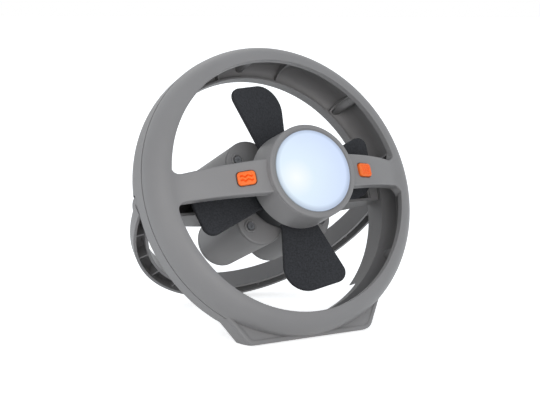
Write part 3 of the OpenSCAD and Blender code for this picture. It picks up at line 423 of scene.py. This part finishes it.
# Rear shell, hoop, barrel and its cover: more mouldings in the same ABS, kept as the
# CAD gives them. They are fixed by screws, pins and the cover's plugs.
# Broken arrises: a moulding's edges are never sharp, so each shows a thin line of light.
grey_abs_parts = finish(
    "ABS, moulded, satin with broken arrises", ("#838181", "#888686"), 0.48, 0.8, 0.010,
    soft_edge_mm=0.5)
for node in ("rear_shell", "stand_hoop", "battery_housing", "battery_cover"):
    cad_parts[node].data.materials[0] = grey_abs_parts

# Cap over the front of the barrel: a clover-shaped ABS plate with a soft shoulder.
# Each lobe has a dished boss for the screw that holds it to the barrel.
TUBE_AT, TUBE_R, CAP_FRONT, CAP_BACK, SHOULDER = 21.4, 19.65, 21.3, 23.6, 1.5
SPIGOT_IN, SPIGOT_L, FACE_IN = 0.8, 0.6, 3
BOSS_X, BOSS_Z, BOSS_H = 31.0, 26.0, 1.0


def clover_edge(inset):
    """Outline of four round lobes: three quarters of a circle each, then the floor of the notch."""
    r = TUBE_R - inset
    floor_of_notch = [(TUBE_AT - inset, TUBE_AT - r), (TUBE_AT - inset, r - TUBE_AT)]
    lobe = np.concatenate([arc(TUBE_AT, TUBE_AT, r, 180, -90, 54), floor_of_notch])
    u, v = lobe[:, 0], lobe[:, 1]
    return np.concatenate([lobe, np.stack([v, -u], -1), -lobe, np.stack([-v, u], -1)])


def ring_boss(x, z, profile):
    """Concentric rings on the cap: circles about the screw at each (radius, depth) step."""
    circle = arc(0, 0, 1, 0, 360, 41)[:-1]
    return carried([(circle * r + (x, z), y) for r, y in profile])


# (inset, depth) over the cap: a thin spigot behind, a step out, the shoulder and the face
cap_steps = np.concatenate([
    [(SPIGOT_IN, CAP_BACK), (SPIGOT_IN, CAP_BACK - SPIGOT_L), (0, CAP_BACK - SPIGOT_L - 0.1)],
    arc(SHOULDER, CAP_FRONT + SHOULDER, SHOULDER, 180, 270, 8),
    [(SHOULDER + FACE_IN, CAP_FRONT)]])
# (radius, rise over the cap's face) of a boss: from its foot over a rounded rim into the dish
boss_profile = [(r, CAP_FRONT - rise) for r, rise in (
    (5.2, -0.6), (5.1, 0.3), (4.8, 0.8), (4.3, BOSS_H), (3.9, 0.9), (3.6, 0.3), (3.4, 0), (2.0, 0))]
cap_grids = [(carried([(clover_edge(inset), depth) for inset, depth in cap_steps]), False)]
for sx, sz in ((-1, -1), (-1, 1), (1, -1), (1, 1)):
    cap_grids.append((ring_boss(sx * BOSS_X, sz * BOSS_Z, boss_profile), False))
barrel_cap = new_piece("barrel_cap", cap_grids, grey_abs, "frame")
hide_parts("contact_cap")

# Hinge pins, washers, screws and springs: small turned, stamped and wound steel parts,
# zinc plated, which hold the stand, the shells, the arms, the plate and the cap.
# Zinc plating: a bright grey with a soft metallic reflection.
zinc_steel = finish("steel, zinc plated", ("#a8aaad", "#b6b8bb"), 0.32, 0.5, 0.005, Metallic=1)
for node in ("stand_pins", "pivot_washers", "cap_springs", "plate_screws", "shell_screws",
             "arm_screws"):
    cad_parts[node].data.materials[0] = zinc_steel

# Cap screws: four cold headed steel screws in the bosses of the barrel's cap, which
# the photograph shows as matt as the plastic round them.
# Phosphate: a fine crystalline grey coat that scatters the light off the steel.
phosphated_steel = finish("steel, phosphated", ("#76777a", "#828386"), 0.7, 0.5, 0.01, Metallic=0.3)
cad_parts["cap_screws"].data.materials[0] = phosphated_steel

# Cells and contacts: four cells in shrunk sleeves, left plain here, between the coil
# springs in front and pressed brass discs in the plugs of the cover.
# The sleeve has the tight gloss of shrunk film, and the brass a warm yellow sheen.
cell_sleeve = finish("PET sleeve, shrunk, dark grey", ("#3a3c41", "#404247"), 0.3, 0.5, 0.002)
pressed_brass = finish("brass, pressed", ("#c2a25a", "#caaa62"), 0.3, 0.4, 0.004, Metallic=1)
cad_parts["battery_cells"].data.materials[0] = cell_sleeve
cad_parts["cover_contacts"].data.materials[0] = pressed_brass

# Lamp bezel: a ring of grey ABS pressed onto the drum, crowned, with a rounded rim
# and a fine groove round the lens.
BEZEL_IN, BEZEL_TOP, BEZEL_SKIRT, CROWN_R = 31.25, -32.3, -26.1, 1.7
LENS_EDGE_R, GROOVE_R, BEZEL_GAP = 0.35, 0.2, 0.2
SKIRT_R = DRUM_FRONT_R - WALL - BEZEL_GAP
BEZEL_BACK = DRUM_FRONT - BEZEL_GAP
bezel = np.concatenate([
    [(BEZEL_IN, BEZEL_SKIRT), (BEZEL_IN, BEZEL_TOP + 0.9)],
    arc(BEZEL_IN + LENS_EDGE_R, BEZEL_TOP + 0.9, LENS_EDGE_R, 180, 270, 4),
    [(BEZEL_IN + 0.9, BEZEL_TOP + 0.55), (BEZEL_IN + 1.0, BEZEL_TOP + 0.2)],
    arc(BEZEL_IN + 1.3, BEZEL_TOP + GROOVE_R, GROOVE_R, 180, 270, 3),
    arc(DRUM_FRONT_R - CROWN_R, BEZEL_TOP + CROWN_R, CROWN_R, -90, 0, 10),
    [(DRUM_FRONT_R, DRUM_FRONT - 0.5), (DRUM_FRONT_R - 0.25, DRUM_FRONT - 0.25),
     (DRUM_FRONT_R - 0.6, BEZEL_BACK), (SKIRT_R, BEZEL_BACK), (SKIRT_R, BEZEL_SKIRT)]])
lamp_ring = new_piece("lamp_ring", [(spun(bezel, 160), True)], grey_abs, "frame")
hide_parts("lamp_bezel")

# Lamp lens: a dome of frosted polycarbonate, moulded, snapped in behind the bezel.
# The glow is uneven: brightest at a spot low on the left, from which it fades outwards.
# Frosting: light spreads inside it, so the lens glows pale blue and shows no chips.
lens_glow = finish(
    "polycarbonate, moulded and frosted, lit", ("#97a3b8", "#9ca8bc"), 0.25, 0.8, 0.002)
GLOW_AT, GLOW_REACH, GLOW_HALO_SHARE, GLOW_STRENGTH = (-17.0, -33.0, -5.0), 48, 0.31, 0.65
LENS_MIDDLE, RIM_FROM, RIM_TO, RIM_STRENGTH = (-0.4, -26.0, 0.5), 28.3, 31.1, 0.32
lens_tree = lens_glow.node_tree
lens_shader = lens_tree.nodes["Principled BSDF"]
lens_where = add(lens_tree, "ShaderNodeTexCoord").outputs["Object"]


def lens_distance(point):
    """Distance of each place on the lens from a point in the ring's frame."""
    return add(lens_tree, "ShaderNodeVectorMath",
               {"operation": "DISTANCE", 1: stood_up(np.array(point))},
               {0: lens_where}).outputs["Value"]


# The glow's colour runs from warm white at the brightest spot through a halo to pale blue
reach = add(lens_tree, "ShaderNodeMapRange", {"From Min": 0, "From Max": GLOW_REACH / 1000},
            {"Value": lens_distance(GLOW_AT)})
glow = add(lens_tree, "ShaderNodeValToRGB", {}, {"Fac": reach.outputs["Result"]})
glow.color_ramp.elements[0].color = linear("#fdf8e2")
glow.color_ramp.elements[1].color = linear("#bfcae5")
glow.color_ramp.elements.new(GLOW_HALO_SHARE).color = linear("#d6e2df")
lens_tree.links.new(glow.outputs["Color"], lens_shader.inputs["Emission Color"])

# Its strength falls off where the dome turns down at the rim
rim = add(lens_tree, "ShaderNodeMapRange",
          {"From Min": RIM_FROM / 1000, "From Max": RIM_TO / 1000,
           "To Min": GLOW_STRENGTH, "To Max": RIM_STRENGTH},
          {"Value": lens_distance(LENS_MIDDLE)})
lens_tree.links.new(rim.outputs["Result"], lens_shader.inputs["Emission Strength"])
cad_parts["lamp_lens"].data.materials[0] = lens_glow

# Lamp inside: a white moulded dish round six chips on a round green board, which
# two screws hold to the drum's ledge. Only an opened lamp shows them.
# Solder mask: a green film that dulls the glass weave and leaves a slight gloss. The
# dish is a plain glossy white, and the phosphor a dull cast yellow.
solder_mask = finish("glass epoxy, green solder mask", ("#14502e", "#1a5c36"), 0.35, 0.4, 0.01)
white_abs = finish("ABS, moulded white", ("#e2e3e4", "#eaeaea"), 0.35, 0.8, 0.005)
chip_phosphor = finish("silicone and phosphor, cast", ("#e8d878", "#efe08a"), 0.4, 0.5, 0.005)
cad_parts["reflector"].data.materials[0] = white_abs
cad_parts["led_board"].data.materials[0] = solder_mask
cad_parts["led_chips"].data.materials[0] = chip_phosphor

# Buttons: two soft caps moulded in orange TPE, each pushed from behind through its
# window in the crossbar. The left one carries two sunk waves and the right one
# rows of pips, so that each is told by touch.
# TPE: a soft rubber that has the mould's matt skin, so its colour stays even and deep.
BUTTON_TOP, BUTTON_FOOT, BUTTON_ROUND, PILLOW, RELIEF = -1.75, 0.8, 0.9, 0.2, 0.7
WAVE_AT, WAVE_H, WAVE_L, WAVE_W, WAVE_END, WAVE_FADE = 1.5, 0.6, 4.6, 0.5, 4.9, 0.6
PIP_PITCH, PIP_END_U, PIP_END_V, PIP_FADE = 2.6, 4.6, 3.4, 0.3
orange_tpe = finish("TPE, moulded, matt orange", ("#fb691a", "#ff7725"), 0.5, 0.6, 0.01)


def button_edge(inset):
    """A rounded rectangle drawn in by inset, all but sharp past its corner radius."""
    r = max(BUTTON_R - inset, 0.02)
    a, b = BUTTON_W / 2 - inset - r, max(BUTTON_H / 2 - inset - r, 0)
    right = np.concatenate([
        line((-a, b + r), (a, b + r), 52), arc(a, b, r, 90, 0, 10)[:-1],
        line((a + r, b), (a + r, -b), 36), arc(a, -b, r, 0, -90, 10)[:-1]])
    return np.concatenate([right, -right])


def waves(u, v):
    """Two grooves along sine waves, each a Gaussian of the height above its wave."""
    fade = np.clip((WAVE_END - np.abs(u)) / WAVE_FADE, 0, 1)
    wave = WAVE_H * np.sin(u * 2 * np.pi / WAVE_L)
    return -2 * sum(fade * np.exp(-((v - at - wave) / WAVE_W) ** 2) for at in (WAVE_AT, -WAVE_AT))


def pips(u, v):
    """A square pattern of round pips: the product of two raised cosines, kept near the middle."""
    fade_u = np.clip((PIP_END_U - np.abs(u)) / PIP_FADE, 0, 1)
    fade_v = np.clip((PIP_END_V - np.abs(v)) / PIP_FADE, 0, 1)
    turn = 2 * np.pi / PIP_PITCH
    pattern = (1 + np.cos(u * turn)) * (1 + np.cos(v * turn)) / 4
    return fade_u * fade_v * (2 * pattern ** 1.5 - 1)


def button(side, relief):
    """A pillow: the outline carried up its wall, over a round edge and inwards across its top.

    The top swells by a quarter sine of the inset and takes the relief. The whole is laid on the
    crossbar's bow at the button's angle.
    """
    edge_y = BUTTON_TOP + BUTTON_ROUND
    over = arc(BUTTON_ROUND, edge_y, BUTTON_ROUND, 190, 262, 6)
    top = np.linspace((BUTTON_ROUND + 0.15, BUTTON_TOP), (BUTTON_H / 2 - 0.02, BUTTON_TOP), 26)
    steps = np.concatenate([[(0, BUTTON_FOOT), (0, edge_y)], over, top])
    plan = np.stack([button_edge(inset) for inset in steps[:, 0]])
    u, v, inset = plan[..., 0], plan[..., 1], steps[:, :1]
    on_top = inset > BUTTON_ROUND
    swell = PILLOW * np.sin(np.clip(inset / (BUTTON_H / 2), 0, 1) * np.pi / 2)
    y = steps[:, 1:] - (swell + RELIEF * relief(u, v)) * on_top - BOW_R
    c, s = math.cos(side * BUTTON_TURN), math.sin(side * BUTTON_TURN)
    return np.stack([u * c - y * s, BOW_Y + u * s + y * c, v], -1)


for name, side, relief in (("fan", -1, waves), ("light", 1, pips)):
    soft_cap = new_piece(
        name + "_soft_cap", [(button(side, relief), False)], orange_tpe, name + "_key")
    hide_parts(name + "_button")

# Switches: a tact switch on a small board behind each button, pressed by its plunger.
# The boards are glass epoxy, held on pegs inside the crossbar.
for node in ("fan_switch", "light_switch"):
    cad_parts[node].data.materials[0] = solder_mask

# Motor: a small can of drawn steel with a nylon end bell, held in the collar of the
# plate that closes the drum. The hub pushes onto its shaft and a nut keeps it there.
# Glass-filled nylon: black with a dull, slightly mottled skin.
black_nylon = finish("nylon, glass-filled, moulded black", ("#232527", "#2a2c2e"), 0.5, 0.6, 0.01)
for node in ("motor_plate", "motor_end_bell", "rotor_hub", "hub_cap"):
    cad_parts[node].data.materials[0] = black_nylon
for node in ("motor_can", "motor_shaft", "hub_nut"):
    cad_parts[node].data.materials[0] = zinc_steel

# Blades: four petals stamped from black EVA foam sheet, 4 mm thick, pushed into
# the hub's pitched slots. Stamping and handling leave the cut edges rounded.
TIP_R, HUB_R, ROOT_SUNK, BLADE_ROOT_W, BLADE_TIP_W, BLADE_T = 82.8, 30.6, 7, 28, 46.6, 4
WIDE_R, TIGHT_R, TIP_LEAD, BLADE_GAP, BLADE_EDGE, BLADE_FACE_IN = 19, 8, 1, 0.3, 1.2, 4
BLADE_Y, BLADE_PITCH, BLADE_PHASE = 11, 13.5, 8


def blade_edge(inset):
    """The petal's outline drawn in by inset.

    Each side runs straight from the neck until it touches its tip corner's arc. The radius to that
    touching point makes the angle acos(r / distance) with the line from the centre to the neck.
    """
    half = BLADE_ROOT_W / 2 - BLADE_GAP - inset
    root = HUB_R - ROOT_SUNK + inset
    neck = np.array([HUB_R + BLADE_GAP, half])
    wide = np.array([TIP_R - TIP_LEAD - WIDE_R, BLADE_TIP_W / 2 - TIP_LEAD - WIDE_R])
    tight = np.array([TIP_R - TIP_LEAD - TIGHT_R - BLADE_GAP, BLADE_TIP_W / 2 + TIP_LEAD - TIGHT_R])

    def corner(centre, r, stop, steps):
        """The arc of a tip corner, from the point where the side's line touches it."""
        to = centre - neck
        touch = math.degrees(math.atan2(to[1], to[0]) + math.acos(-r / np.hypot(*to)))
        return arc(*centre, r, touch, stop, steps)

    upper, lower = [
        np.concatenate([line((root, half), neck, 4), line(neck, tip[0], 12), tip])
        for tip in (corner(wide, WIDE_R - inset, 2, 30), corner(tight, TIGHT_R - inset, -4, 20))]
    return np.concatenate([upper, lower[::-1] * (1, -1)])


def on_blade(index):
    """Places a blade's outline: pitched about its own length, then turned about the axis."""
    turn, pitch = math.radians(BLADE_PHASE + 90 * index), math.radians(BLADE_PITCH)

    def place(u, depth, v):
        """Across the blade: v cos p - depth sin p. Along the axis: v sin p + depth cos p."""
        across = v * math.cos(pitch) - depth * math.sin(pitch)
        x = u * math.cos(turn) + across * math.sin(turn)
        y = BLADE_Y + v * math.sin(pitch) + depth * math.cos(pitch)
        z = u * math.sin(turn) - across * math.cos(turn)
        return np.stack([x, y, z], -1)

    return place


# Foam: cut cells scatter all light, so it is dull, and catch it here and there as paler
# specks. The real cells are finer than the picture can show and are drawn at 1.2 mm.
eva_foam = finish(
    "EVA foam, sheet, die cut", ("#26272a", "#35363a"), 0.93, 0.9, 0.12, drift_mm=1.2)
cut_edge = arc(BLADE_EDGE, BLADE_T / 2 - BLADE_EDGE, BLADE_EDGE, 180, 90, 6)
blade_steps = np.concatenate([
    [(BLADE_FACE_IN, -BLADE_T / 2)], cut_edge[::-1] * (1, -1),
    cut_edge, [(BLADE_FACE_IN, BLADE_T / 2)]])
layers = [(blade_edge(inset), depth) for inset, depth in blade_steps]
for index, letter in enumerate("abcd"):
    petal = carried(layers, on_blade(index))
    blade = new_piece("foam_blade_" + letter, [(petal, False)], eva_foam, "rotor")
    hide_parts("blade_" + letter)

# Studio: a white table and backdrop with broad soft lights, as in a catalogue photograph.
# The table is white to the camera, in gloss and through glass, and keeps the fan's shadow.
# Paper: dull and faintly mottled, it spreads the light and throws no reflection.
TABLE_HALF, TABLE_LIFT = 4, 0.66
corners = np.array([(-1, -1, 0), (1, -1, 0), (1, 1, 0), (-1, 1, 0)]) * TABLE_HALF
floor_mesh = bpy.data.meshes.new("table")
floor_mesh.from_pydata(corners.tolist(), [], [(0, 1, 2, 3)])
floor = bpy.data.objects.new("table", floor_mesh)
bpy.context.scene.collection.objects.link(floor)
paper = finish("paper, white seamless", ("#ededed", "#f2f2f2"), 0.9, 2, 0.01)
paper_tree = paper.node_tree
paper_shader = paper_tree.nodes["Principled BSDF"]
paper_shader.inputs["Emission Color"].default_value = (1, 1, 1, 1)


def seen_directly(tree):
    """1 for rays from the camera or by way of gloss or glass, else 0.

    It is the sum of the three Light Path outputs, clamped to 1.
    """
    ray = add(tree, "ShaderNodeLightPath").outputs
    two = add(tree, "ShaderNodeMath", {"operation": "ADD"},
              {0: ray["Is Camera Ray"], 1: ray["Is Glossy Ray"]})
    three = add(tree, "ShaderNodeMath", {"operation": "ADD", "use_clamp": True},
                {0: two.outputs["Value"], 1: ray["Is Transmission Ray"]})
    return three.outputs["Value"]


lift = add(paper_tree, "ShaderNodeMath", {"operation": "MULTIPLY", 1: TABLE_LIFT},
           {0: seen_directly(paper_tree)})
paper_tree.links.new(lift.outputs["Value"], paper_shader.inputs["Emission Strength"])
floor_mesh.materials.append(paper)

world = bpy.data.worlds.new("studio")
bpy.context.scene.world = world
world.use_nodes = True
sky = world.node_tree
sky.nodes.clear()
soft = add(sky, "ShaderNodeBackground", {"Color": (0.87, 0.94, 1, 1), "Strength": 0.72})
seen = add(sky, "ShaderNodeBackground", {"Color": (1, 1, 1, 1), "Strength": 1.0})
mix = add(sky, "ShaderNodeMixShader", {},
          {0: seen_directly(sky), 1: soft.outputs[0], 2: seen.outputs[0]})
add(sky, "ShaderNodeOutputWorld", {}, {"Surface": mix.outputs[0]})

FAN_MIDDLE = 0, 0.02, 0.1


def softbox(name, at, size, watts):
    """A square softbox that looks at the fan's middle."""
    light = bpy.data.lights.new(name, "AREA")
    light.size, light.energy, light.color = size, watts, (1, 0.965, 0.94)
    lamp = bpy.data.objects.new(name, light)
    lamp.location = at
    lamp.rotation_euler = (Vector(FAN_MIDDLE) - Vector(at)).to_track_quat("-Z", "Y").to_euler()
    bpy.context.scene.collection.objects.link(lamp)


softbox("key", (-1.3, -0.9, 1.0), 0.8, 4)
softbox("front", (-0.3, -1.6, 0.25), 1.0, 7.5)
softbox("low left", (-1.4, -0.3, 0.2), 0.8, 1.5)
softbox("back", (0.3, 1.4, 1.2), 0.9, 2)

cam_data = bpy.data.cameras.new("camera")
cam_data.sensor_width = 36
cam_data.lens = 84.62
camera = bpy.data.objects.new("camera", cam_data)
camera.location = (-0.49678, -0.77546, 0.28365)
camera.rotation_euler = [math.radians(a) for a in (78.7878, -1.8905, -30.4023)]
bpy.context.scene.collection.objects.link(camera)
bpy.context.scene.camera = camera
bpy.context.scene.view_settings.view_transform = "Standard"
